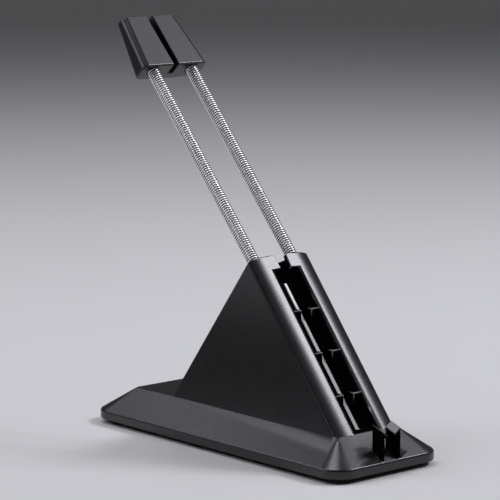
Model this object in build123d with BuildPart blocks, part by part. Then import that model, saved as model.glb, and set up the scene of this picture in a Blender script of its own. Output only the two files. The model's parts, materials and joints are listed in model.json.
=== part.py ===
from build123d import *
from math import asin, atan2, cos, degrees, radians, sin, tan
import os

# A mouse bungee. A weighted base with bevelled sides carries a wedge-shaped tower with an open cable channel
# down its front. Two close-wound springs stand in the tower's top and hold a slotted cap for the cable.
# Millimetres, +X to the front, +Z up, origin on the desk under the middle of the base.

# Base: a low moulding with bevelled sides
base_length = 131.0
base_width = 50.0
base_corner_radius = 8.3
front_bevel = 11.4
rear_bevel = 12.5
edge_height = 3.2
bevel_rise = 8.2
plateau_corner_radius = 0.4
shell_wall = 2.2
rim_wall = 2.4

# Pad, plate and weight under and inside the base
pad_thickness = 1.5
pad_inset = 3.0
pad_corner_radius = 5.0
plate_thickness = 2.0
plate_clearance = 0.2
ballast_length = 92.0
ballast_width = 22.0
ballast_thickness = 5.5
ballast_chamfer = 0.8
rib_spacing = 70.0
rib_thickness = 1.6
rib_clearance = 0.2
boss_radius = 3.0
boss_clearance = 1.0
screw_head_radius = 2.3
screw_radius = 1.1
screw_length = 6.0
screw_clearance = 0.05
screw_tip_room = 0.5

# Tower: a triangular wedge as wide as the plateau, with crowned rails beside a channel
tower_width = 27.2
tower_front_slope = 51.0
tower_rear_slope = 52.6
tower_foot_length = 86.8
rail_flat = 0.5
rail_crown_drop = 2.2
rail_side_radius = 1.2
channel_width = 10.6
channel_depth = 4.4
channel_trough = 2.0
channel_lip_radius = 1.6
runner_width = 1.5
runner_rise = 0.5
runner_crown_radius = 5.0
runner_start = 4.0

# Tabs that close the channel to a slot at the top, and stair-shaped teeth along it
tab_length = 5.5
tab_thickness = 1.8
tab_slot_top = 5.4
tab_slot_bottom = 4.6
tab_corner_radius = 0.9
tooth_count = 3
tooth_foot_margin = 14.9
tooth_gap = 4.5
tooth_tip_depth = 0.2
moulded_overlap = 0.9

# Fins that guide the cable over the front edge
fin_length = 4.6
fin_setback = 0.3
fin_outer_width = 8.8
fin_gap = 3.5
fin_flare = 1.25
fin_lip = 1.2
fin_rear_height = 4.4
fin_fall = 20.5
fin_lean = 34.0

# Springs: two arms that lean back a little more than the tower's front
arm_tilt = 2.2
arm_length = 83.0
spring_diameter = 4.5
wire_diameter = 0.85
coil_gap = 0.04
coil_groove = 0.3
coil_facets = 8
coil_overlap = 2.5
socket_depth = 15.0
socket_clearance = 0.15
socket_cover = 1.6
socket_side_wall = 1.2
socket_floor_wall = 2.6
pin_clearance = 0.1
pin_length = 12.0

# Cap: tapered towards its end, with a slot for the cable
cap_length = 23.0
cap_side_wall = 3.5
cap_front_wall = 1.2
cap_back_wall = 2.3
cap_upper_width = 24.4
cap_upper_front = 2.8
cap_upper_back = 2.9
cap_side_radius = 2.4
cap_slot_lower = 2.3
cap_slot_upper = 2.9
cap_slot_floor = 1.8
cap_bore_depth = 11.0
cap_end_clearance = 0.3

# Levels and half sizes
skirt_z = pad_thickness
plate_top_z = skirt_z + plate_thickness
ridge_z = skirt_z + edge_height
plateau_z = ridge_z + bevel_rise
ceiling_z = plateau_z - shell_wall
half_length = base_length / 2
half_width = base_width / 2
tower_half_width = tower_width / 2
side_bevel = half_width - tower_half_width
reach = base_length + base_width + arm_length

# Frame of the tower's front: across, up the slant and out of it
front_angle = radians(tower_front_slope)
rear_angle = radians(tower_rear_slope)
front_foot_x = half_length - front_bevel
rear_foot_x = front_foot_x - tower_foot_length
tower_rise = tower_foot_length / (1 / tan(front_angle) + 1 / tan(rear_angle))
apex = Vector(front_foot_x - tower_rise / tan(front_angle), 0, plateau_z + tower_rise)
slant_up = Vector(-cos(front_angle), 0, sin(front_angle))
slant_out = Vector(sin(front_angle), 0, cos(front_angle))
slant_length = tower_rise / sin(front_angle)
front_plane = Plane(origin=apex, x_dir=(0, 1, 0), z_dir=slant_out)
section_plane = Plane(origin=apex, x_dir=(0, 1, 0), z_dir=slant_up)

# Frame of the springs: their axes start level with the apex, behind the tower's front
spring_radius = spring_diameter / 2
socket_radius = spring_radius + socket_clearance
bore_radius = spring_radius - wire_diameter
pin_radius = bore_radius - pin_clearance
arm_y = channel_width / 2 + socket_side_wall + socket_radius
arm_angle = radians(tower_front_slope - arm_tilt)
arm_up = Vector(-cos(arm_angle), 0, sin(arm_angle))
arm_out = Vector(sin(arm_angle), 0, cos(arm_angle))
arm_base = apex - slant_out * (socket_cover + socket_radius)


def arm_plane(distance):
    """Plane across the springs at a distance up their axes; its y runs to the back."""
    return Plane(origin=arm_base + arm_up * distance, x_dir=(0, 1, 0), z_dir=arm_up)


def skirt_outline(height, side, front, rear, radius):
    """Rounded rectangle at a height, set in from the base's sides, front and rear."""
    with BuildSketch(Plane.XY.offset(height)) as outline:
        with Locations(((rear - front) / 2, 0)):
            RectangleRounded(base_length - front - rear, base_width - 2 * side, radius)
    return outline.sketch


def countersunk_screws(head_radius, radius, mode=Mode.ADD):
    """Flush-headed screws, or their holes, pointing up from the plate's underside."""
    with Locations(*[(x, 0, skirt_z) for x in boss_places]):
        Cone(head_radius, radius, head_radius - radius, align=upright, mode=mode)
        Cylinder(radius, screw_length, align=upright, mode=mode)


upright = (Align.CENTER, Align.CENTER, Align.MIN)
boss_x = ballast_length / 2 + boss_clearance + boss_radius
boss_places = (-boss_x, boss_x)

# Teeth: triangles with a level tread and an upright riser, standing on the channel's floor
with BuildPart() as teeth:
    tooth_depth = channel_depth + moulded_overlap - tooth_tip_depth
    tooth_pitch = (slant_length - tab_length - tooth_foot_margin) / tooth_count
    for step in range(1, tooth_count + 1):
        tip = apex - slant_up * (tab_length + step * tooth_pitch) - slant_out * tooth_tip_depth
        tread_end = tip - Vector(tooth_depth / sin(front_angle), 0, 0)
        riser_end = tip - Vector(0, 0, tooth_depth / cos(front_angle))
        with BuildSketch(Plane.XZ):
            with BuildLine():
                Polyline((tip.X, tip.Z), (tread_end.X, tread_end.Z), (riser_end.X, riser_end.Z), close=True)
            make_face()
        extrude(amount=channel_width / 2 + moulded_overlap, both=True)
    Box(reach, tooth_gap, 2 * reach, mode=Mode.SUBTRACT)

# Tabs: two tongues in the plane of the rails, with a slot between them that narrows downwards
with BuildPart() as tabs:
    tab_side = channel_width / 2 + channel_lip_radius
    with BuildSketch(front_plane) as tab_face:
        with BuildLine():
            Polyline(
                (tab_slot_top / 2, 0),
                (tab_side, 0),
                (tab_side, -tab_length),
                (tab_slot_bottom / 2, -tab_length),
                close=True,
            )
        make_face()
        inner_top = tab_face.vertices().group_by(Axis.Y)[-1].sort_by(Axis.X)[0]
        fillet(inner_top, tab_corner_radius)
    extrude(amount=-tab_thickness)
    mirror(about=Plane.XZ)

# Tower: the wedge, trimmed to the section of its crowned rails and channel
with BuildPart() as tower:
    with BuildSketch(Plane.XZ):
        with BuildLine():
            Polyline((front_foot_x, plateau_z), (apex.X, apex.Z), (rear_foot_x, plateau_z), close=True)
        make_face()
    extrude(amount=tower_half_width, both=True)
    # The channel's floor is a shallow trough, and a rail's crown a wide arc that runs on into a tighter one
    wall_y = channel_width / 2
    trough_radius = (wall_y**2 + channel_trough**2) / (2 * channel_trough)
    trough_turn = degrees(asin(wall_y / trough_radius))
    flat = wall_y + channel_lip_radius + rail_flat
    side_run = tower_half_width - flat - rail_side_radius
    side_drop = rail_crown_drop - rail_side_radius
    crown_radius = (side_run**2 + rail_crown_drop**2 - rail_side_radius**2) / (2 * side_drop)
    turn = degrees(atan2(rail_crown_drop - crown_radius, side_run))
    with BuildSketch(section_plane) as rail_section:
        with BuildLine():
            CenterArc((0, channel_depth - trough_radius), trough_radius, 90, -trough_turn)
            Polyline((wall_y, channel_depth - channel_trough), (wall_y, 0), (flat, 0))
            CenterArc((flat, crown_radius), crown_radius, -90, 90 + turn)
            CenterArc((flat + side_run, rail_crown_drop), rail_side_radius, turn, -turn)
            Polyline((tower_half_width, rail_crown_drop), (tower_half_width, reach), (0, reach))
            mirror(about=Plane.YZ)
        make_face()
        lips = rail_section.vertices().group_by(Axis.Y)[0].sort_by(Axis.X)[1:3]
        fillet(lips, channel_lip_radius)
    extrude(amount=reach, both=True, mode=Mode.INTERSECT)
    # A low crowned runner lies along the middle of the channel's floor, from below the tabs to the foot
    runner_side = runner_width / 2
    runner_root = channel_depth + moulded_overlap
    runner_centre = (0, channel_depth - runner_rise + runner_crown_radius)
    runner_turn = degrees(asin(runner_side / runner_crown_radius))
    with BuildSketch(section_plane.offset(-tab_length - runner_start)):
        with BuildLine():
            crown = CenterArc(runner_centre, runner_crown_radius, -90 - runner_turn, 2 * runner_turn)
            Polyline(crown @ 1, (runner_side, runner_root), (-runner_side, runner_root), crown @ 0)
        make_face()
    extrude(amount=-slant_length)
    add(tabs.part)
    add(teeth.part)
    split(bisect_by=Plane.XY.offset(plateau_z), keep=Keep.TOP)
    with BuildSketch(arm_plane(-socket_depth)):
        with GridLocations(2 * arm_y, 0, 2, 1):
            Circle(socket_radius)
    extrude(amount=2 * socket_depth, mode=Mode.SUBTRACT)

# Fins: a pair of blades on the front bevel, with tops that fall to the front and lean to the gap between them
with BuildPart() as fins:
    fin_front_x = half_length - fin_setback
    fin_rear_x = fin_front_x - fin_length
    fin_inner = fin_gap / 2
    fin_outer = fin_outer_width / 2
    fin_height = plateau_z + 2 * fin_rear_height
    fall = radians(fin_fall)
    lean = radians(fin_lean)
    along_top = Vector(cos(fall), 0, -sin(fall))
    across_top = Vector(0, cos(lean), sin(lean))
    fin_top_corner = (fin_rear_x, fin_outer, plateau_z + fin_rear_height)
    fin_top = Plane(fin_top_corner, x_dir=along_top, z_dir=along_top.cross(across_top))
    # The throat widens the gap to the front, below the lips at the tops
    with BuildPart(mode=Mode.PRIVATE) as throat:
        with BuildSketch(Plane.XY):
            with BuildLine():
                Polyline(
                    (fin_rear_x, 0),
                    (fin_front_x, 0),
                    (fin_front_x, fin_inner + fin_flare),
                    (fin_rear_x, fin_inner),
                    close=True,
                )
            make_face()
        extrude(amount=fin_height)
        split(bisect_by=fin_top.offset(-fin_lip), keep=Keep.BOTTOM)
    with BuildSketch(Plane.XY):
        with Locations(((fin_front_x + fin_rear_x) / 2, (fin_outer + fin_inner) / 2)):
            Rectangle(fin_length, fin_outer - fin_inner)
    extrude(amount=fin_height)
    split(bisect_by=fin_top, keep=Keep.BOTTOM)
    add(throat.part, mode=Mode.SUBTRACT)
    bevel_out = Vector(bevel_rise, 0, front_bevel).normalized()
    bevel_root = Vector(half_length, 0, ridge_z) - bevel_out * moulded_overlap
    split(bisect_by=Plane(bevel_root, x_dir=(0, 1, 0), z_dir=bevel_out), keep=Keep.TOP)
    mirror(about=Plane.XZ)

# Cavity: the room inside the walls, with bosses for the screws and ribs that hold the weight down
with BuildPart() as cavity:
    rim_radius = base_corner_radius - rim_wall
    rim = skirt_outline(skirt_z, rim_wall, rim_wall, rim_wall, rim_radius)
    extrude(rim, amount=ceiling_z - skirt_z)
    edges_out = ((1, 0), (-1, 0), (0, 1), (0, -1))
    for (x, y), width in zip(edges_out, (front_bevel, rear_bevel, side_bevel, side_bevel)):
        bevel_out = Vector(x * bevel_rise, y * bevel_rise, width).normalized()
        inner_ridge = Vector(x * half_length, y * half_width, ridge_z) - bevel_out * shell_wall
        split(bisect_by=Plane(inner_ridge, x_dir=(-y, x, 0), z_dir=bevel_out), keep=Keep.BOTTOM)
    # The tower's hollow lies behind the channel's floor and ends below the springs' sockets
    socket_floor = arm_base - arm_up * socket_depth - arm_out * socket_radius
    hollow_top_z = socket_floor.Z - socket_floor_wall
    hollow_foot_z = ceiling_z - shell_wall
    front_wall = (channel_depth + shell_wall) / sin(front_angle)
    rear_wall = shell_wall / sin(rear_angle)
    with BuildSketch(Plane.XZ):
        with BuildLine():
            Polyline(
                (apex.X - front_wall + (apex.Z - hollow_foot_z) / tan(front_angle), hollow_foot_z),
                (apex.X - front_wall + (apex.Z - hollow_top_z) / tan(front_angle), hollow_top_z),
                (apex.X + rear_wall - (apex.Z - hollow_top_z) / tan(rear_angle), hollow_top_z),
                (apex.X + rear_wall - (apex.Z - hollow_foot_z) / tan(rear_angle), hollow_foot_z),
                close=True,
            )
        make_face()
    extrude(amount=tower_half_width - shell_wall, both=True)
    rib_z = plate_top_z + ballast_thickness + rib_clearance
    with Locations((-rib_spacing / 2, 0, rib_z), (rib_spacing / 2, 0, rib_z)):
        Box(rib_thickness, base_width, apex.Z, align=upright, mode=Mode.SUBTRACT)
    with Locations(*[(x, 0, plate_top_z) for x in boss_places]):
        Cylinder(boss_radius, plateau_z, align=upright, mode=Mode.SUBTRACT)
    with Locations(*[(x, 0, skirt_z) for x in boss_places]):
        Cylinder(screw_radius + screw_clearance, screw_length + screw_tip_room, align=upright)

# Housing: base, tower and fins in one moulding, hollow from below
with BuildPart() as housing:
    extrude(skirt_outline(skirt_z, 0, 0, 0, base_corner_radius), amount=edge_height)
    ridge = skirt_outline(ridge_z, 0, 0, 0, base_corner_radius)
    plateau = skirt_outline(plateau_z, side_bevel, front_bevel, rear_bevel, plateau_corner_radius)
    loft(sections=[ridge, plateau], ruled=True)
    add(tower.part)
    add(fins.part)
    add(cavity.part, mode=Mode.SUBTRACT)
housing.part.label = "housing"

# Base plate: closes the housing from below, flush with its rim
with BuildPart() as base_plate:
    plate_inset = rim_wall + plate_clearance
    plate_radius = base_corner_radius - plate_inset
    plate_outline = skirt_outline(skirt_z, plate_inset, plate_inset, plate_inset, plate_radius)
    extrude(plate_outline, amount=plate_thickness)
    countersunk_screws(screw_head_radius + screw_clearance, screw_radius + screw_clearance, Mode.SUBTRACT)
base_plate.part.label = "base_plate"

# Ballast bar: a steel weight that lies on the plate, under the housing's ribs
with BuildPart() as ballast_bar:
    with Locations((0, 0, plate_top_z)):
        Box(ballast_length, ballast_width, ballast_thickness, align=upright)
    chamfer(ballast_bar.edges().filter_by(Axis.Z), ballast_chamfer)
ballast_bar.part.label = "ballast_bar"

# Pad: a soft sheet under the plate, which the part stands on
with BuildPart() as antislip_pad:
    extrude(skirt_outline(0, pad_inset, pad_inset, pad_inset, pad_corner_radius), amount=pad_thickness)
antislip_pad.part.label = "antislip_pad"

# Screws: two that hold the plate to the housing's bosses
with BuildPart() as plate_screws:
    countersunk_screws(screw_head_radius, screw_radius)
plate_screws.part.label = "plate_screws"

# Springs: ridged tubes of flat facets, coiled along the open arm and plain inside the sockets and the bores
spring_length = socket_depth + arm_length + cap_bore_depth - cap_end_clearance
coiled_length = arm_length + 2 * coil_overlap
coil_count = round(coiled_length / (wire_diameter + coil_gap))
coil_pitch = coiled_length / coil_count
groove_radius = spring_radius - coil_groove
coil_rings = [(-socket_depth, spring_radius)]
for coil in range(coil_count):
    coil_start = coil * coil_pitch - coil_overlap
    coil_rings += [(coil_start, spring_radius), (coil_start + coil_pitch / 2, groove_radius)]
coil_rings.append((arm_length + coil_overlap, spring_radius))
coil_rings.append((spring_length - socket_depth, spring_radius))
springs = {}
for spring_name, side in (("left_spring", -1), ("right_spring", 1)):
    with BuildPart() as spring:
        coil_sections = []
        for distance, ring_radius in coil_rings:
            with BuildSketch(arm_plane(distance), mode=Mode.PRIVATE) as coil_section:
                with Locations((side * arm_y, 0)):
                    RegularPolygon(ring_radius, coil_facets)
            coil_sections.append(coil_section.sketch)
        loft(sections=coil_sections, ruled=True)
        with BuildSketch(arm_plane(-socket_depth)):
            with Locations((side * arm_y, 0)):
                Circle(bore_radius)
        extrude(amount=spring_length, mode=Mode.SUBTRACT)
    spring.part.label = spring_name
    springs[spring_name] = spring.part

# Pins: steel cores in the springs' ends, standing on the sockets' floors and under the bores' ends
pins = {}
pin_starts = (("lower_pin", -socket_depth), ("upper_pin", arm_length + cap_bore_depth - pin_length))
for level, start in pin_starts:
    for hand, side in (("left", -1), ("right", 1)):
        with BuildPart() as pin:
            with BuildSketch(arm_plane(start)):
                with Locations((side * arm_y, 0)):
                    Circle(pin_radius)
            extrude(amount=pin_length)
        pin.part.label = f"{hand}_{level}"
        pins[pin.part.label] = pin.part

# Cap: tapered in side view and in front view, with rounded long edges, bored for the springs and slotted
with BuildPart() as cap:
    cap_lower_half = arm_y + socket_radius + cap_side_wall
    cap_lower_front = socket_radius + cap_front_wall
    cap_lower_back = socket_radius + cap_back_wall
    cap_end = arm_length + cap_length
    lower = arm_base + arm_up * arm_length
    upper = arm_base + arm_up * cap_end
    with BuildSketch(Plane.XZ):
        with BuildLine():
            corners = (
                lower + arm_out * cap_lower_front,
                upper + arm_out * cap_upper_front,
                upper - arm_out * cap_upper_back,
                lower - arm_out * cap_lower_back,
            )
            Polyline(*[(corner.X, corner.Z) for corner in corners], close=True)
        make_face()
    extrude(amount=cap_lower_half, both=True)
    arm_face = Plane(origin=arm_base, x_dir=(0, 1, 0), z_dir=arm_out)
    with BuildSketch(arm_face):
        with BuildLine():
            Polyline(
                (-cap_lower_half, arm_length),
                (cap_lower_half, arm_length),
                (cap_upper_width / 2, cap_end),
                (-cap_upper_width / 2, cap_end),
                close=True,
            )
        make_face()
    extrude(amount=reach, both=True, mode=Mode.INTERSECT)
    long_edges = cap.edges().group_by(Axis(arm_base, arm_up))[1]
    fillet(long_edges, cap_side_radius)
    with BuildSketch(arm_face.offset(-cap_slot_floor)):
        with BuildLine():
            Polyline(
                (-cap_slot_lower / 2, arm_length),
                (cap_slot_lower / 2, arm_length),
                (cap_slot_upper / 2, cap_end),
                (-cap_slot_upper / 2, cap_end),
                close=True,
            )
        make_face()
    extrude(amount=cap_slot_floor + cap_lower_front, mode=Mode.SUBTRACT)
    with BuildSketch(arm_plane(arm_length)):
        with GridLocations(2 * arm_y, 0, 2, 1):
            Circle(socket_radius)
    extrude(amount=cap_bore_depth, mode=Mode.SUBTRACT)
cap.part.label = "cap"

os.makedirs("parts", exist_ok=True)
export_step(housing.part, "parts/housing.step")
export_step(base_plate.part, "parts/base_plate.step")
export_step(ballast_bar.part, "parts/ballast_bar.step")
export_step(antislip_pad.part, "parts/antislip_pad.step")
export_step(plate_screws.part, "parts/plate_screws.step")
export_step(cap.part, "parts/cap.step")
for name, part in (springs | pins).items():
    export_step(part, f"parts/{name}.step")
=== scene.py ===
"""Dresses the mouse bungee: rounds its mouldings' edges, winds its springs' wire and finishes every piece."""

import json
import logging
import math
from dataclasses import dataclass, replace
from enum import Enum
from typing import Any, Callable, Mapping, Optional, Sequence, Union

import bmesh
import bpy
import numpy as np
from mathutils import Matrix, Vector


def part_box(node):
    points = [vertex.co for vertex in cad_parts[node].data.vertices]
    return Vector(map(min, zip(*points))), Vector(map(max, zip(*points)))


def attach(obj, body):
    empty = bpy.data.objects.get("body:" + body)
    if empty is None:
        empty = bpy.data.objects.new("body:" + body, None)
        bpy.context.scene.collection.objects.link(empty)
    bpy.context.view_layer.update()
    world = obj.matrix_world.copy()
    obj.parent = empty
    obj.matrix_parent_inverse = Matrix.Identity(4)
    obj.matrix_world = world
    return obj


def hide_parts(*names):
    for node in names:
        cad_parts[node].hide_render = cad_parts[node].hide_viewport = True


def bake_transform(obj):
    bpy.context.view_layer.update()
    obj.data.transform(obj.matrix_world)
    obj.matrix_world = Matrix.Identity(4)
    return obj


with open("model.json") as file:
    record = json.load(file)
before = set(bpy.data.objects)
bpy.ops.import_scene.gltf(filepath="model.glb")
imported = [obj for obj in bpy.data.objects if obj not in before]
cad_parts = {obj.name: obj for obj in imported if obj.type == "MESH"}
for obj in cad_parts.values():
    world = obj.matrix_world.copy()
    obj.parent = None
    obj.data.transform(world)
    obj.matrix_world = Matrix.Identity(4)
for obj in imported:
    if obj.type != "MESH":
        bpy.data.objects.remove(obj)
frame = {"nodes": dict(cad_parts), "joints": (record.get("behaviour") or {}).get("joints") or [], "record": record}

MM = 0.001
LOG = logging.getLogger("bungee")

Colour = tuple[float, float, float]
Point = tuple[float, float, float]
Span = tuple[float, float]
Number = Union[float, "Signal"]
Shade = Union[Colour, "Signal"]
EdgeTest = Callable[[np.ndarray], np.ndarray]

# Turns between two faces up to which they count as one flat face, and past which as an edge or a crease
FLAT_TURN = math.radians(0.4)
EDGE_TURN = math.radians(35.0)
CREASE_TURN = math.radians(38.0)

# Distances within which points are one point, in a solid's mesh and at a surface's poles
JOIN_REACH = 0.002 * MM
POLE_REACH = 0.001 * MM

# Rounded edges: faces across one, the weight of broad faces in the normals, and the mark that the faces carry
EDGE_FACES = 3
BROAD_WEIGHT = 50
ROUNDED_SLOT = 1
ROUNDED_EDGE = "rounded_edge"

# Spans of a soft border, counted in border widths from where it belongs
BEFORE: Span = (-2.0, -1.0)
AT: Span = (0.0, 1.0)
AFTER: Span = (1.0, 2.0)

NOISE_ROUGHNESS = 0.6


class Hand(Enum):
    """Side of the part, seen by someone in front of the tower."""

    LEFT = "left"
    RIGHT = "right"


class Body(Enum):
    """Moving group of the part."""

    BASE = "base"
    HEAD = "head"


class Signal:
    """A socket's value; arithmetic on it adds Math nodes to its bench."""

    def __init__(self, bench: "Bench", socket: bpy.types.NodeSocket) -> None:
        """Keeps the socket and the bench that it belongs to."""
        self.bench = bench
        self.socket = socket

    def _math(self, operation: str, first: Number, second: Number = 0.0) -> "Signal":
        """Adds one Math node."""
        return self.bench.node("ShaderNodeMath", {"operation": operation}, {0: first, 1: second})

    def __add__(self, other: Number) -> "Signal":
        """Sum."""
        return self._math("ADD", self, other)

    def __radd__(self, other: Number) -> "Signal":
        """Sum, with the value second."""
        return self._math("ADD", other, self)

    def __sub__(self, other: Number) -> "Signal":
        """Difference."""
        return self._math("SUBTRACT", self, other)

    def __rsub__(self, other: Number) -> "Signal":
        """Difference, with the value second."""
        return self._math("SUBTRACT", other, self)

    def __mul__(self, other: Number) -> "Signal":
        """Product."""
        return self._math("MULTIPLY", self, other)

    def __rmul__(self, other: Number) -> "Signal":
        """Product, with the value second."""
        return self._math("MULTIPLY", other, self)

    def __abs__(self) -> "Signal":
        """Size without sign."""
        return self._math("ABSOLUTE", self)

    def rise(self, low: float, high: float) -> "Signal":
        """Smooth step from 0 at low to 1 at high."""
        settings = {"interpolation_type": "SMOOTHSTEP", "clamp": True}
        sockets = {"Value": self, "From Min": low, "From Max": high}
        return self.bench.node("ShaderNodeMapRange", settings, sockets)


class Bench:
    """The node sheet of one material."""

    def __init__(self, name: str) -> None:
        """Starts an empty material of that name."""
        self.material = bpy.data.materials.new(name)
        self.material.use_nodes = True
        self.tree = self.material.node_tree
        self.tree.nodes.clear()

    def node(
        self,
        kind: str,
        settings: Optional[Mapping[str, Any]] = None,
        sockets: Optional[Mapping[Union[int, str], Any]] = None,
        output: Union[int, str] = 0,
    ) -> Signal:
        """Adds a node, sets it up and connects it.

        Args:
            kind: The node's type.
            settings: Properties that are set first.
            sockets: Values or signals for the node's inputs, by name or place.
            output: The output that the returned signal reads.

        Returns:
            The chosen output.
        """
        made = self.tree.nodes.new(kind)
        for key, value in (settings or {}).items():
            setattr(made, key, value)
        for key, value in (sockets or {}).items():
            if isinstance(value, Signal):
                self.tree.links.new(value.socket, made.inputs[key])
            else:
                made.inputs[key].default_value = value
        return Signal(self, made.outputs[output])

    def place(self) -> Signal:
        """Object coordinates, in metres."""
        return self.node("ShaderNodeTexCoord", output="Object")

    def along(self, direction: Point) -> Signal:
        """Distance from the origin along a direction, in metres."""
        sockets = {0: self.place(), 1: direction}
        return self.node("ShaderNodeVectorMath", {"operation": "DOT_PRODUCT"}, sockets, "Value")

    def stretch(self, vector: Signal, scale: Point) -> Signal:
        """Vector whose coordinates are each multiplied by their own scale."""
        return self.node("ShaderNodeMapping", {"vector_type": "POINT"}, {"Vector": vector, "Scale": scale})

    def noise(self, size: float, detail: float, where: Optional[Signal] = None) -> Signal:
        """Cloudy noise from 0 to 1 whose lumps are about size metres across."""
        vector = where or self.place()
        sockets = {"Vector": vector, "Scale": 1.0 / size, "Detail": detail, "Roughness": NOISE_ROUGHNESS}
        return self.node("ShaderNodeTexNoise", {"noise_dimensions": "3D"}, sockets)

    def pores(self, spacing: float) -> Signal:
        """Distance to the nearest of scattered points about spacing metres apart, as a share of that."""
        sockets = {"Vector": self.place(), "Scale": 1.0 / spacing}
        return self.node("ShaderNodeTexVoronoi", {"feature": "F1"}, sockets)

    def blend(self, share: Signal, low: Shade, high: Shade) -> Signal:
        """Colour between two others, by a share from 0 to 1."""
        ends = (value if isinstance(value, Signal) else (*value, 1.0) for value in (low, high))
        sockets = dict(zip((0, 6, 7), (share, *ends)))
        return self.node("ShaderNodeMix", {"data_type": "RGBA"}, sockets, 2)

    def relief(self, height: Signal, depth: float) -> Signal:
        """Normal of a surface whose height goes from 0 to depth metres."""
        return self.node("ShaderNodeBump", None, {"Height": height, "Distance": depth, "Strength": 1.0})

    def shader(self, sockets: Mapping[str, Any]) -> Signal:
        """Adds a Principled shader with values or signals for its inputs, by name."""
        return self.node("ShaderNodeBsdfPrincipled", None, sockets, "BSDF")

    def finish(self, shader: Signal) -> bpy.types.Material:
        """Ends the sheet in a shader and hands the finished material out."""
        end = self.tree.nodes.new("ShaderNodeOutputMaterial")
        self.tree.links.new(shader.socket, end.inputs["Surface"])
        return self.material


@dataclass(frozen=True)
class Flat:
    """A plane: its direction, and its distance from the origin along that."""

    direction: Point
    distance: float

    def behind(self, bench: Bench) -> Signal:
        """Depth of a place behind the plane, in metres."""
        return self.distance - bench.along(self.direction)


@dataclass(frozen=True)
class ChannelPaintedLight:
    """Painted light on the cable's way: painted shade in dull black in the channel and on the fins, and painted
    highlight as pale colour on the runner and paler on the tooth tips.
    """

    front: Flat
    rear: Flat
    bevel: Flat
    fin_top: Flat
    fin_lean: float
    fin_half_width: float
    depth: float
    half_width: float
    runner_depth: float
    runner_half_width: float
    # Painted shade: the dull near-black colours laid in the channel and on the fins, where shade falls
    low: Colour = (0.0015, 0.0015, 0.0016)
    high: Colour = (0.0030, 0.0030, 0.0032)
    # Painted highlight: the pale colour blended onto the runner
    runner: Colour = (0.55, 0.55, 0.56)
    roughness: float = 0.95
    # Share of the pale painted highlight on the tooth tips
    tip_highlight_share: float = 0.5
    border: float = 0.2 * MM
    runner_foot: Span = (1.0, 1.5)
    floor_fade: Span = (4.0, 5.0)
    mouth_fade: Span = (0.75, 3.5)
    tip_start: Span = (0.5, 1.5)
    tip_end: Span = (3.0, 13.0)

    def past(self, distance: Signal, limit: float, span: Span) -> Signal:
        """Rises from 0 to 1 where a distance passes a limit, over a span counted in border widths."""
        return distance.rise(limit + span[0] * self.border, limit + span[1] * self.border)

    def masks(self, bench: Bench) -> tuple[Signal, Signal]:
        """Works out where the painted shade and the painted highlight go, from depths behind planes and the way
        from the middle.

        The channel lies between the front plane and the rear plane, and is painted in shade. The fins stand in
        front of the front plane, above the bevel and below their tops, which lean towards the middle, and are
        painted in shade too. The rounded edges of the teeth near the front plane are painted paler, as a painted
        highlight.

        Args:
            bench: The material's sheet.

        Returns:
            The painted shade's mask and the painted highlight's: 1 in the shade or on the runner, and a part of 1
            on the tooth tips.
        """
        depth = self.front.behind(bench)
        middle = abs(bench.along((0.0, 1.0, 0.0)))
        level = self.past(depth, self.runner_depth, BEFORE)
        below = self.past(depth, self.runner_depth, self.runner_foot)
        side = self.past(middle, self.runner_half_width, AT)
        # The runner, where the pale painted highlight goes
        runner = level * (1.0 - below) * (1.0 - side)
        wall = self.past(middle, self.half_width, AT)
        floor = self.past(depth, self.depth, self.floor_fade)
        body = self.past(self.rear.behind(bench), 0.0, AFTER)
        mouth = self.past(depth, 0.0, self.mouth_fade)
        # Painted shade in the channel, except on the runner
        channel = mouth * body * (1.0 - wall) * (1.0 - floor) * (1.0 - runner)
        # Painted shade on the fins' faces
        before = self.past(-1.0 * depth, 0.0, AFTER)
        above = self.past(-1.0 * self.bevel.behind(bench), 0.0, AFTER)
        under = self.past(self.fin_top.behind(bench) + self.fin_lean * middle, 0.0, AFTER)
        near = 1.0 - self.past(middle, self.fin_half_width, AT)
        fins = before * above * under * near
        rounded = bench.node("ShaderNodeAttribute", {"attribute_name": ROUNDED_EDGE}, output="Fac")
        inner = 1.0 - self.past(middle, self.half_width, BEFORE)
        shallow = self.past(depth, 0.0, self.tip_start) * (1.0 - self.past(depth, 0.0, self.tip_end))
        # Painted highlight: the rounded tooth edges near the front plane turn partly pale
        tips = rounded * shallow * inner * body
        return channel * (1.0 - tips) + fins, runner + self.tip_highlight_share * tips


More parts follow.
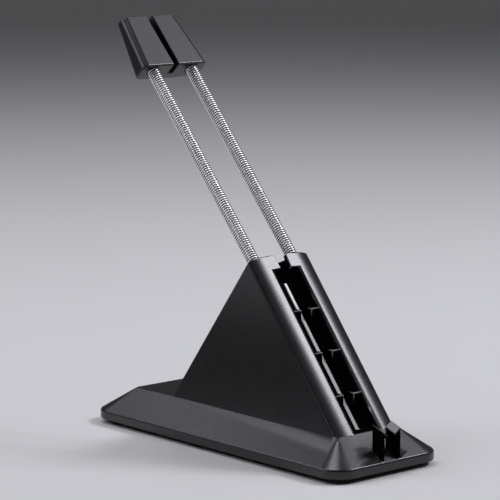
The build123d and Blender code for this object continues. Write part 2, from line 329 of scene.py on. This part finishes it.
@dataclass(frozen=True)
class MouldedPlastic:
    """Black moulded plastic: the mould's fine grain, faint flow clouds and perhaps a channel's painted shade and
    painted highlights.
    """

    name: str
    deep: Colour
    pale: Colour
    roughness: float
    grain: float
    depth: float
    sheen: float
    channel: Optional[ChannelPaintedLight] = None
    pits_to_grain: float = 0.6
    cloud_size: float = 22.0 * MM
    grain_in_texture: float = 0.65
    grain_in_shade: float = 0.55
    shade_range: Span = (0.25, 0.75)
    unevenness: float = 0.16
    refraction: float = 1.57

    def material(self) -> bpy.types.Material:
        """Builds the material: grain drives bump, colour and roughness; a channel adds a dull black shader as
        painted shade, and pale colour as painted highlight.
        """
        bench = Bench(self.name)
        grain = bench.noise(self.grain, detail=2.0)
        pits = bench.pores(self.grain / self.pits_to_grain)
        clouds = bench.noise(self.cloud_size, detail=3.0)
        texture = self.grain_in_texture * grain + (1.0 - self.grain_in_texture) * pits
        shade = (self.grain_in_shade * grain + (1.0 - self.grain_in_shade) * clouds).rise(*self.shade_range)
        sockets = {
            "Base Color": bench.blend(shade, self.deep, self.pale),
            "Roughness": self.roughness + self.unevenness * (texture - 0.5) + self.sheen * (clouds - 0.5),
            "Normal": bench.relief(texture, self.depth),
            "IOR": self.refraction,
        }
        if self.channel is None:
            return bench.finish(bench.shader(sockets))
        # The painted shade's mask, and the painted highlight's mask on the runner and the tooth tips
        inside, painted_highlight = self.channel.masks(bench)
        # Painted highlight: the base colour turns pale on the runner and the tooth tips
        sockets["Base Color"] = bench.blend(painted_highlight, sockets["Base Color"], self.channel.runner)
        # Painted shade: a near-black dull shader without specular reflection
        black = {
            "Base Color": bench.blend(shade, self.channel.low, self.channel.high),
            "Roughness": self.channel.roughness,
            "Specular IOR Level": 0.0,
        }
        ends = {0: inside, 1: bench.shader(sockets), 2: bench.shader(black)}
        return bench.finish(bench.node("ShaderNodeMixShader", None, ends))


@dataclass(frozen=True)
class PlatedWire:
    """Plated spring wire: bright crests, painted shade on the wire's sides between the turns, and drawing marks
    along the wire.
    """

    name: str
    cold: Colour
    warm: Colour
    # Colour of the painted shade on the wire's sides between the turns
    gap_shade: Colour
    roughness: float
    crest: Span = (0.34, 0.39)
    mark_scale: Point = (60.0, 14.0, 1.0)
    mark_depth: float = 0.004 * MM
    mark_roughness: float = 0.14
    gap_roughness: float = 0.3
    drift_size: float = 9.0 * MM
    tone_range: Span = (0.3, 0.7)

    def material(self) -> bpy.types.Material:
        """Builds the material.

        The way round the wire, 0 and 1 on its outermost line, parts crests from gaps. Noise that is stretched
        along the wire's own length drives colour, roughness and bump.

        Returns:
            The finished material.
        """
        bench = Bench(self.name)
        wire = bench.node("ShaderNodeUVMap", {"uv_map": "wire"})
        way_round = bench.node("ShaderNodeSeparateXYZ", None, {"Vector": wire}, "X")
        # Painted shade: darker away from the outer crest, towards the neighbouring turns, and rougher there too
        gap = 1.0 - abs(way_round - 0.5).rise(*self.crest)
        stretched = bench.stretch(wire, self.mark_scale)
        sockets = {"Vector": stretched, "Scale": 1.0, "Detail": 3.0, "Roughness": NOISE_ROUGHNESS}
        marks = bench.node("ShaderNodeTexNoise", {"noise_dimensions": "2D"}, sockets)
        drift = bench.noise(self.drift_size, detail=2.0)
        plating = bench.blend((0.5 * marks + 0.5 * drift).rise(*self.tone_range), self.cold, self.warm)
        return bench.finish(bench.shader({
            "Base Color": bench.blend(gap, plating, self.gap_shade),
            "Roughness": self.roughness + self.mark_roughness * (marks - 0.5) + self.gap_roughness * gap,
            "Metallic": 1.0,
            "Normal": bench.relief(marks, self.mark_depth),
        }))


@dataclass(frozen=True)
class FoamRubber:
    """Black foam rubber: open pores of two sizes in a dull skin."""

    name: str
    skin: Colour
    pore: Colour
    size: float
    large_to_small: float = 2.7
    large_share: float = 0.6
    skin_range: Span = (0.12, 0.5)
    roughness: float = 0.95
    gloss: float = 0.12
    depth: float = 0.12 * MM

    def material(self) -> bpy.types.Material:
        """Builds the material: the way to the nearest pore's centre drives colour, roughness and bump."""
        bench = Bench(self.name)
        large = bench.pores(self.size)
        small = bench.pores(self.size / self.large_to_small)
        skin = (self.large_share * large + (1.0 - self.large_share) * small).rise(*self.skin_range)
        return bench.finish(bench.shader({
            "Base Color": bench.blend(skin, self.pore, self.skin),
            "Roughness": self.roughness - self.gloss * skin,
            "Normal": bench.relief(skin, self.depth),
        }))


@dataclass(frozen=True)
class PlainSteel:
    """Cut steel under a thin film of oil: straight tool marks along one direction and dull clouds."""

    name: str
    bright: Colour
    dull: Colour
    roughness: float
    marks: Point
    mark_roughness: float = 0.2
    mark_depth: float = 0.01 * MM
    cloud_size: float = 12.0 * MM
    cloud_roughness: float = 0.15
    tone_range: Span = (0.3, 0.7)

    def material(self) -> bpy.types.Material:
        """Builds the material: noise that is stretched along the marks drives roughness, colour and bump."""
        bench = Bench(self.name)
        marks = bench.noise(1.0, detail=3.0, where=bench.stretch(bench.place(), self.marks))
        clouds = bench.noise(self.cloud_size, detail=2.0)
        tone = (0.5 * marks + 0.5 * clouds).rise(*self.tone_range)
        uneven = self.mark_roughness * (marks - 0.5) + self.cloud_roughness * (clouds - 0.5)
        return bench.finish(bench.shader({
            "Base Color": bench.blend(tone, self.dull, self.bright),
            "Roughness": self.roughness + uneven,
            "Metallic": 1.0,
            "Normal": bench.relief(marks, self.mark_depth),
        }))


@dataclass(frozen=True)
class StudioPaint:
    """Matt paint of the floor and backdrop, with a roller's faint unevenness."""

    name: str
    low: Colour
    high: Colour
    cloud_size: float = 0.35
    roughness: float = 0.7
    unevenness: float = 0.1

    def material(self) -> bpy.types.Material:
        """Builds the material: broad noise between two nearly equal pale tones."""
        bench = Bench(self.name)
        clouds = bench.noise(self.cloud_size, detail=2.0)
        return bench.finish(bench.shader({
            "Base Color": bench.blend(clouds, self.low, self.high),
            "Roughness": self.roughness + self.unevenness * clouds,
        }))


HOUSING_GRAIN = MouldedPlastic(
    name="housing_black",
    deep=(0.006, 0.006, 0.0066),
    pale=(0.011, 0.011, 0.012),
    roughness=0.28,
    grain=0.20 * MM,
    depth=0.008 * MM,
    sheen=0.05,
)
CAP_GRAIN = replace(HOUSING_GRAIN, name="cap_black", roughness=0.30, depth=0.004 * MM)
PLATE_GRAIN = MouldedPlastic(
    name="plate_black",
    deep=(0.016, 0.016, 0.017),
    pale=(0.026, 0.026, 0.027),
    roughness=0.5,
    grain=0.4 * MM,
    depth=0.02 * MM,
    sheen=0.08,
)
SPRING_PLATING = PlatedWire(
    name="spring_bright",
    cold=(0.85, 0.86, 0.88),
    warm=(0.92, 0.91, 0.90),
    gap_shade=(0.02, 0.02, 0.02),
    roughness=0.34,
)
PAD_FOAM = FoamRubber(
    name="pad_foam",
    skin=(0.028, 0.028, 0.028),
    pore=(0.008, 0.008, 0.008),
    size=0.55 * MM,
)
BALLAST_STEEL = PlainSteel(
    name="ballast_grey",
    bright=(0.52, 0.52, 0.53),
    dull=(0.38, 0.37, 0.36),
    roughness=0.42,
    marks=(300.0, 4000.0, 4000.0),
)
SCREW_STEEL = PlainSteel(
    name="screw_zinc",
    bright=(0.70, 0.71, 0.72),
    dull=(0.55, 0.56, 0.58),
    roughness=0.3,
    marks=(2500.0, 2500.0, 600.0),
)
PIN_STEEL = PlainSteel(
    name="pin_ground",
    bright=(0.62, 0.62, 0.63),
    dull=(0.48, 0.48, 0.48),
    roughness=0.28,
    marks=(1500.0, 4000.0, 1500.0),
)
FLOOR_PAINT = StudioPaint(
    name="floor_pale",
    low=(0.70, 0.70, 0.69),
    high=(0.74, 0.74, 0.73),
)


@dataclass(frozen=True)
class EdgeRule:
    """Radius of the outer edges whose middles a test picks."""

    radius: float
    picks: EdgeTest


def own_surface(obj: bpy.types.Object, material: bpy.types.Material) -> None:
    """Makes a material the only one of an object."""
    obj.data.materials.clear()
    obj.data.materials.append(material)


def ring_mesh(name: str, grid: np.ndarray) -> bpy.types.Mesh:
    """Turns a grid of points whose rows are rings into a mesh of four-sided faces.

    Face (i, j) joins the points (i, j), (i + 1, j), (i + 1, j + 1) and (i, j + 1), and the last column is
    joined to the first.

    Args:
        name: The mesh's name.
        grid: Points as rows, columns and coordinates.

    Returns:
        The mesh, with smooth faces.
    """
    rows, columns = grid.shape[:2]
    index = np.arange(rows * columns).reshape(rows, columns)
    index = np.hstack([index, index[:, :1]])
    corners = [index[:-1, :-1], index[1:, :-1], index[1:, 1:], index[:-1, 1:]]
    quads = np.stack(corners, axis=-1).reshape(-1, len(corners))
    mesh = bpy.data.meshes.new(name)
    mesh.vertices.add(rows * columns)
    mesh.vertices.foreach_set("co", grid.astype(np.float32).ravel())
    mesh.loops.add(quads.size)
    mesh.loops.foreach_set("vertex_index", quads.astype(np.int32).ravel())
    mesh.polygons.add(len(quads))
    mesh.polygons.foreach_set("loop_start", np.arange(0, quads.size, len(corners), dtype=np.int32))
    mesh.update(calc_edges=True)
    mesh.validate()
    mesh.shade_smooth()
    return mesh


def weld(mesh: bpy.types.Mesh) -> None:
    """Joins points that share a place, which closes a surface's poles."""
    shell = bmesh.new()
    shell.from_mesh(mesh)
    bmesh.ops.remove_doubles(shell, verts=shell.verts, dist=POLE_REACH)
    shell.to_mesh(mesh)
    shell.free()


def link(name: str, mesh: bpy.types.Mesh) -> bpy.types.Object:
    """Puts a mesh into the scene as an object at the origin."""
    obj = bpy.data.objects.new(name, mesh)
    bpy.context.scene.collection.objects.link(obj)
    return obj


def mark_rounded(mesh: bpy.types.Mesh) -> None:
    """Turns the material slot of the rounded edges' faces into a mark, and puts all faces in one slot."""
    slots = np.zeros(len(mesh.polygons), dtype=np.int32)
    mesh.polygons.foreach_get("material_index", slots)
    mesh.polygons.foreach_set("material_index", np.zeros_like(slots))
    band = mesh.attributes.new(ROUNDED_EDGE, "FLOAT", "FACE")
    band.data.foreach_set("value", (slots == ROUNDED_SLOT).astype(np.float32))


def rounded_copy(node: str, name: str, radius: float, rules: Sequence[EdgeRule]) -> bpy.types.Object:
    """Copies a solid's mesh, joins its loose triangles and rounds its outer edges.

    An outer edge gets the plain radius, or the radius of the last rule that picks its middle. The faces of
    the rounded edges are marked, for the painted highlight on the channel's tooth edges.

    Args:
        node: The solid's name.
        name: The new object's name.
        radius: The plain radius, in metres.
        rules: Radii for the edges in special places.

    Returns:
        The rounded object.
    """
    shell = bmesh.new()
    shell.from_mesh(frame["nodes"][node].data)
    bmesh.ops.remove_doubles(shell, verts=shell.verts, dist=JOIN_REACH)
    bmesh.ops.dissolve_limit(shell, angle_limit=FLAT_TURN, verts=shell.verts, edges=shell.edges)
    turns = np.array([edge.calc_face_angle_signed(0.0) for edge in shell.edges])
    ends = np.array([[tuple(vert.co) for vert in edge.verts] for edge in shell.edges])
    mesh = bpy.data.meshes.new(name)
    shell.to_mesh(mesh)
    shell.free()
    middles = ends.mean(axis=1)
    radii = np.full(len(turns), radius)
    for rule in rules:
        radii = np.where(rule.picks(middles), rule.radius, radii)
    radii = np.where(turns > EDGE_TURN, radii, 0.0)
    weights = mesh.attributes.new("bevel_weight_edge", "FLOAT", "EDGE")
    weights.data.foreach_set("value", (radii / radii.max()).astype(np.float32))
    for _ in range(ROUNDED_SLOT + 1):
        mesh.materials.append(None)
    obj = link(name, mesh)
    bevel = obj.modifiers.new("edge_rounding", "BEVEL")
    bevel.material = ROUNDED_SLOT
    bevel.limit_method = "WEIGHT"
    bevel.offset_type = "OFFSET"
    bevel.width = float(radii.max())
    bevel.segments = EDGE_FACES
    bevel.use_clamp_overlap = False
    obj.data = bpy.data.meshes.new_from_object(obj.evaluated_get(bpy.context.evaluated_depsgraph_get()))
    obj.modifiers.clear()
    bpy.data.meshes.remove(mesh)
    obj.data.name = name
    mark_rounded(obj.data)
    obj.data.shade_smooth()
    obj.data.set_sharp_from_angle(angle=CREASE_TURN)
    normals = obj.modifiers.new("broad_faces_lead", "WEIGHTED_NORMAL")
    normals.keep_sharp = True
    normals.weight = BROAD_WEIGHT
    return obj


@dataclass
class Housing:
    """The moulding of base and tower, with the rails, channel, tabs, teeth and fins on its front."""

    edge_radius: float = 0.5 * MM
    channel_edge_radius: float = 0.30 * MM
    fin_edge_radius: float = 0.16 * MM
    socket_edge_radius: float = 0.08 * MM
    channel_half_width: float = 5.3 * MM
    channel_depth: float = 4.4 * MM
    channel_margin: float = 0.6 * MM
    channel_rise: float = 0.5 * MM
    lip_reach: float = 1.1 * MM
    runner_depth: float = 3.9 * MM
    runner_half_width: float = 0.75 * MM
    rear_slope: float = math.radians(52.6)
    bevel_run: float = 11.4 * MM
    bevel_rise: float = 8.2 * MM
    ridge_height: float = 4.7 * MM
    fin_half_width: float = 4.6 * MM
    fin_margin: float = 0.2 * MM
    fin_front: float = 0.4 * MM
    fin_foot: float = 3.6 * MM
    fin_top: Flat = Flat((0.2961, 0.0, 0.7919), 29.291 * MM)
    fin_lean: float = 0.5341
    socket_reach: float = 3.2 * MM

    def __post_init__(self) -> None:
        """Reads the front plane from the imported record, and the moulding's box."""
        mounts = {mount["name"]: mount for mount in frame["record"]["mounts"]}
        self.front = np.array(mounts["cable_entry"]["axis"])
        self.plane = float(self.front @ np.array(mounts["cable_entry"]["pos_m"]))
        self.low, self.high = (np.array(corner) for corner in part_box("housing"))

    def in_channel(self, points: np.ndarray) -> np.ndarray:
        """Picks points in the channel: behind the front plane by up to its depth, and near the middle."""
        depth = self.plane - points @ self.front
        near = np.abs(points[:, 1]) < self.channel_half_width + self.channel_margin
        return near & (depth > -self.channel_rise) & (depth < self.channel_depth + self.channel_margin)

    def on_fins(self, points: np.ndarray) -> np.ndarray:
        """Picks points on the cable fins: before the tower, above the base's edge and near the middle."""
        depth = self.plane - points @ self.front
        near = np.abs(points[:, 1]) < self.fin_half_width + self.fin_margin
        return near & (depth < -self.fin_front) & (points[:, 2] > self.low[2] + self.fin_foot)

    def in_sockets(self, points: np.ndarray) -> np.ndarray:
        """Picks points round the two spring sockets: within reach of a spring's axis."""
        near = np.zeros(len(points), dtype=bool)
        for hand in Hand:
            axis = SpringArm(hand).axis()
            offset = points - axis.start
            along = offset @ axis.direction
            off = np.linalg.norm(offset - along[:, None] * axis.direction, axis=1)
            near |= off < self.socket_reach
        return near

    def build(self) -> bpy.types.Object:
        """Rounds the edges: broad on the base and tower, fine in the channel, on the fins and sockets."""
        rules = [
            EdgeRule(self.channel_edge_radius, self.in_channel),
            EdgeRule(self.fin_edge_radius, self.on_fins),
            EdgeRule(self.socket_edge_radius, self.in_sockets),
        ]
        obj = rounded_copy("housing", "housing_moulding", self.edge_radius, rules)
        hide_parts("housing")
        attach(obj, Body.BASE.value)
        return obj

    @staticmethod
    def flat_through(point: Point, direction: Point) -> Flat:
        """Plane through a point, square to a direction."""
        unit = Vector(direction).normalized()
        return Flat(tuple(unit), unit.dot(Vector(point)))

    def dress(self, obj: bpy.types.Object) -> None:
        """Gives the moulding its grain, and the channel its painted shade in dull black and its painted highlights
        on the runner and the tooth tips.
        """
        apex = ((self.plane - self.front[2] * self.high[2]) / self.front[0], 0.0, self.high[2])
        ridge = (self.high[0], 0.0, self.ridge_height)
        channel = ChannelPaintedLight(
            front=Flat(tuple(self.front), self.plane),
            rear=self.flat_through(apex, (-math.sin(self.rear_slope), 0.0, math.cos(self.rear_slope))),
            bevel=self.flat_through(ridge, (self.bevel_rise, 0.0, self.bevel_run)),
            fin_top=self.fin_top,
            fin_lean=self.fin_lean,
            fin_half_width=self.fin_half_width,
            depth=self.channel_depth,
            half_width=self.channel_half_width + self.lip_reach,
            runner_depth=self.runner_depth,
            runner_half_width=self.runner_half_width,
        )
        own_surface(obj, replace(HOUSING_GRAIN, channel=channel).material())


@dataclass
class CableCap:
    """The moulding on the springs' upper ends, with the cable slot down its middle."""

    edge_radius: float = 0.7 * MM
    slot_edge_radius: float = 0.25 * MM
    slot_half_width: float = 1.7 * MM

    def beside_slot(self, points: np.ndarray) -> np.ndarray:
        """Picks points next to the cable slot."""
        return np.abs(points[:, 1]) < self.slot_half_width

    def build(self) -> bpy.types.Object:
        """Rounds the cap's edges, more at its ends than along the slot."""
        rules = [EdgeRule(self.slot_edge_radius, self.beside_slot)]
        obj = rounded_copy("cap", "cable_cap", self.edge_radius, rules)
        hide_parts("cap")
        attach(obj, Body.HEAD.value)
        return obj

    def dress(self, obj: bpy.types.Object) -> None:
        """Gives the cap its grain."""
        own_surface(obj, CAP_GRAIN.material())


@dataclass(frozen=True)
class Line:
    """A start point, a direction and a length."""

    start: np.ndarray
    direction: np.ndarray
    length: float


@dataclass
class SpringArm:
    """One close-wound spring from its socket in the tower to its bore in the cap."""

    hand: Hand
    wire: float = 0.80 * MM
    gap: float = 0.09 * MM
    steps: int = 20
    sides: int = 16
    bend_length: float = 56.0 * MM

    @property
    def node(self) -> str:
        """Name of the spring's solid."""
        return f"{self.hand.value}_spring"

    def axis(self) -> Line:
        """Works out the spring's axis from its solid's box.

        The arm lies square to the cable clip's direction in the upright middle plane. A round bar of
        diameter D and length L that rises at an angle has the height L sin + D cos, and D is its box's width.

        Returns:
            The axis from its lower end up.
        """
        clip = next(m for m in frame["record"]["mounts"] if m["name"] == "cable_clip")
        direction = np.array([-clip["axis"][2], 0.0, clip["axis"][0]])
        direction /= np.linalg.norm(direction)
        low, high = (np.array(corner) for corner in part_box(self.node))
        size = high - low
        length = (size[2] - size[1] * abs(direction[0])) / direction[2]
        return Line((low + high) / 2 - direction * length / 2, direction, float(length))

    def wind(self, axis: Line, width: float) -> np.ndarray:
        """Winds the wire's surface round an axis.

        The wire's middle runs round the axis at half the coil's width less half the wire's, and climbs by one
        wire and one gap each turn. Round each of its points a circle of the wire's radius lies square to the
        wire's own direction, spanned by the direction away from the axis and the one square to both. The
        first and last rings shrink to a point, which closes the ends.

        Args:
            axis: The coil's axis.
            width: The coil's outer width, in metres.

        Returns:
            Points as rings along the wire, places round it and coordinates.
        """
        radius = (width - self.wire) / 2
        pitch = self.wire + self.gap
        turns = (axis.length - self.wire) / pitch
        angle = np.linspace(0.0, 2 * math.pi * turns, int(turns * self.steps) + 1)
        side = np.array([0.0, 1.0, 0.0])
        across = np.cross(axis.direction, side)
        away = np.cos(angle)[:, None] * side + np.sin(angle)[:, None] * across
        swing = -np.sin(angle)[:, None] * side + np.cos(angle)[:, None] * across
        climb = self.wire / 2 + pitch * angle / (2 * math.pi)
        middle = axis.start + climb[:, None] * axis.direction + radius * away
        forward = swing * radius + axis.direction * pitch / (2 * math.pi)
        forward /= np.linalg.norm(forward, axis=1)[:, None]
        square = np.cross(forward, away)
        turn = np.linspace(0.0, 2 * math.pi, self.sides, endpoint=False)[None, :, None]
        rings = np.cos(turn) * away[:, None, :] + np.sin(turn) * square[:, None, :]
        grid = middle[:, None, :] + self.wire / 2 * rings
        first, last = (np.repeat(middle[end][None, None, :], self.sides, axis=1) for end in (0, -1))
        return np.concatenate([first, grid, last])

    def build(self) -> bpy.types.Object:
        """Winds the spring in its solid's place."""
        axis = self.axis()
        low, high = (np.array(corner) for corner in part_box(self.node))
        mesh = ring_mesh(f"{self.node}_wire", self.wind(axis, high[1] - low[1]))
        self.mark_wire(mesh)
        weld(mesh)
        obj = link(f"{self.node}_wire", mesh)
        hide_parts(self.node)
        hinge = np.array(frame["joints"][0]["pos_m"])
        reach = axis.direction * self.bend_length / 2
        tuple(hinge - reach)
        tuple(hinge + reach)
        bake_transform(obj)
        return obj

    def mark_wire(self, mesh: bpy.types.Mesh) -> None:
        """Adds a map, corner by corner: the way round the wire from 0 to 1, and turns along its length."""
        row, column = np.divmod(np.arange(len(mesh.polygons)), self.sides)
        around = (column[:, None] + np.array([0, 0, 1, 1])) / self.sides
        along = (row[:, None] + np.array([0, 1, 1, 0])) / self.steps
        layer = mesh.uv_layers.new(name="wire")
        layer.data.foreach_set("uv", np.stack([around, along], axis=-1).astype(np.float32).ravel())

    def dress(self, obj: bpy.types.Object) -> None:
        """Plates the wire."""
        own_surface(obj, SPRING_PLATING.material())


@dataclass
class Underside:
    """The pieces under and inside the housing that keep their solids' shapes."""

    def dress(self) -> None:
        """Gives the pad, plate, weight, screws and pins their finishes."""
        finishes = {
            "antislip_pad": PAD_FOAM,
            "base_plate": PLATE_GRAIN,
            "ballast_bar": BALLAST_STEEL,
            "plate_screws": SCREW_STEEL,
        }
        for node, finish in finishes.items():
            own_surface(frame["nodes"][node], finish.material())
        pins = PIN_STEEL.material()
        for hand in Hand:
            for end in ("lower", "upper"):
                own_surface(frame["nodes"][f"{hand.value}_{end}_pin"], pins)


@dataclass(frozen=True)
class SoftBox:
    """A rectangular lamp that faces the part."""

    name: str
    direction: Point
    along: Point
    distance: float
    width: float
    height: float
    power: float
    tint: Colour = (0.96, 0.965, 1.04)

    def hang(self, aim: Vector) -> None:
        """Hangs the lamp at its distance from the aim, facing it, with its width nearest to along."""
        lamp = bpy.data.lights.new(self.name, "AREA")
        lamp.shape = "RECTANGLE"
        lamp.size = self.width
        lamp.size_y = self.height
        lamp.energy = self.power
        lamp.color = self.tint
        obj = bpy.data.objects.new(self.name, lamp)
        bpy.context.scene.collection.objects.link(obj)
        away = Vector(self.direction).normalized()
        upward = away.cross(Vector(self.along)).normalized()
        obj.location = aim + away * self.distance
        obj.rotation_euler = Matrix((upward.cross(away), upward, away)).transposed().to_euler()
        obj.visible_camera = False


LAMPS = (
    SoftBox(
        name="key_lamp",
        direction=(0.36, 0.63, 0.69),
        along=(0.3, -0.9, 0.3),
        distance=1.1,
        width=0.28,
        height=0.28,
        power=4.4,
    ),
    SoftBox(
        name="side_lamp",
        direction=(0.41, 0.48, 0.775),
        along=(0.3, -0.9, 0.3),
        distance=1.1,
        width=0.20,
        height=0.25,
        power=1.4,
    ),
    SoftBox(
        name="broad_lamp",
        direction=(-0.20, 0.55, 0.80),
        along=(1.0, 0.0, 0.0),
        distance=1.2,
        width=0.8,
        height=0.6,
        power=1.8,
    ),
    SoftBox(
        name="left_lamp",
        direction=(-0.50, -0.62, 0.60),
        along=(0.86, -0.51, 0.0),
        distance=1.1,
        width=0.8,
        height=0.55,
        power=3.1,
    ),
    SoftBox(
        name="rear_lamp",
        direction=(-0.765, -0.12, 0.63),
        along=(0.0, 1.0, 0.0),
        distance=1.2,
        width=0.7,
        height=0.16,
        power=0.65,
    ),
    SoftBox(
        name="top_lamp",
        direction=(-0.20, -0.11, 0.97),
        along=(0.0, 1.0, 0.0),
        distance=1.05,
        width=0.45,
        height=0.45,
        power=3.0,
    ),
)


@dataclass
class Studio:
    """Floor, lamps, world and camera."""

    floor_radius: float = 2.2
    floor_rings: int = 12
    floor_drop: float = 0.05 * MM
    cove_radius: float = 0.9
    cove_rings: int = 16
    wall_height: float = 1.6
    wall_rings: int = 3
    ring_points: int = 96
    aim: Point = (0.0, 0.0, 0.06)
    sky: Colour = (0.80, 0.82, 0.85)
    sky_strength: float = 0.07
    eye: Point = (644.11 * MM, -572.08 * MM, 205.63 * MM)
    target: Point = (-6.05 * MM, 0.0, 67.58 * MM)
    lens: float = 180.0
    sensor: float = 36.0
    clip: Span = (0.05, 50.0)

    def build(self) -> None:
        """Sets the stage up."""
        self.lay_floor()
        self.hang_lamps()
        self.light_world()
        self.place_camera()
        bpy.context.scene.view_settings.view_transform = "Standard"

    def lay_floor(self) -> None:
        """Turns the stage's profile round the upright axis: a flat floor, a quarter-round cove and a wall."""
        flat = np.linspace(0.0, self.floor_radius, self.floor_rings)
        bend = np.linspace(0.0, math.pi / 2, self.cove_rings + 1)[1:]
        rise = np.linspace(self.cove_radius, self.wall_height, self.wall_rings + 1)[1:]
        cove_reach = self.floor_radius + self.cove_radius * np.sin(bend)
        cove_level = self.cove_radius * (1 - np.cos(bend))
        wall_reach = np.full(len(rise), self.floor_radius + self.cove_radius)
        reach = np.concatenate([flat, cove_reach, wall_reach])
        level = np.concatenate([np.zeros(len(flat)), cove_level, rise]) - self.floor_drop
        turn = np.linspace(0.0, 2 * math.pi, self.ring_points, endpoint=False)
        grid = np.stack([
            reach[:, None] * np.cos(turn)[None, :],
            reach[:, None] * np.sin(turn)[None, :],
            np.repeat(level[:, None], len(turn), axis=1),
        ], axis=-1)
        mesh = ring_mesh("studio_floor", grid)
        weld(mesh)
        floor = link("studio_floor", mesh)
        own_surface(floor, FLOOR_PAINT.material())

    def hang_lamps(self) -> None:
        """Hangs the lamps, which all face one place on the part."""
        for lamp in LAMPS:
            lamp.hang(Vector(self.aim))

    def light_world(self) -> None:
        """Gives the world one soft sky colour."""
        world = bpy.data.worlds.new("studio_sky")
        world.use_nodes = True
        background = world.node_tree.nodes["Background"]
        background.inputs["Color"].default_value = (*self.sky, 1.0)
        background.inputs["Strength"].default_value = self.sky_strength
        bpy.context.scene.world = world

    def place_camera(self) -> None:
        """Places the camera where the photograph was taken from."""
        data = bpy.data.cameras.new("photo_camera")
        data.lens = self.lens
        data.sensor_width = self.sensor
        data.sensor_fit = "HORIZONTAL"
        data.clip_start, data.clip_end = self.clip
        camera = bpy.data.objects.new("photo_camera", data)
        bpy.context.scene.collection.objects.link(camera)
        camera.location = self.eye
        camera.rotation_euler = (Vector(self.target) - Vector(self.eye)).to_track_quat("-Z", "Y").to_euler()
        bpy.context.scene.camera = camera


def main() -> None:
    """Builds and dresses each group of pieces in order, then sets the stage."""
    logging.basicConfig(level=logging.INFO, format="%(name)s: %(message)s")
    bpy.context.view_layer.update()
    parts = [Housing(), CableCap(), *(SpringArm(hand) for hand in Hand)]
    for part in parts:
        obj = part.build()
        part.dress(obj)
        LOG.info("%s has %d faces before its modifiers", obj.name, len(obj.data.polygons))
    Underside().dress()
    LOG.info("underside pieces are finished")
    Studio().build()
    LOG.info("studio is set")


if __name__ == "__main__":
    main()
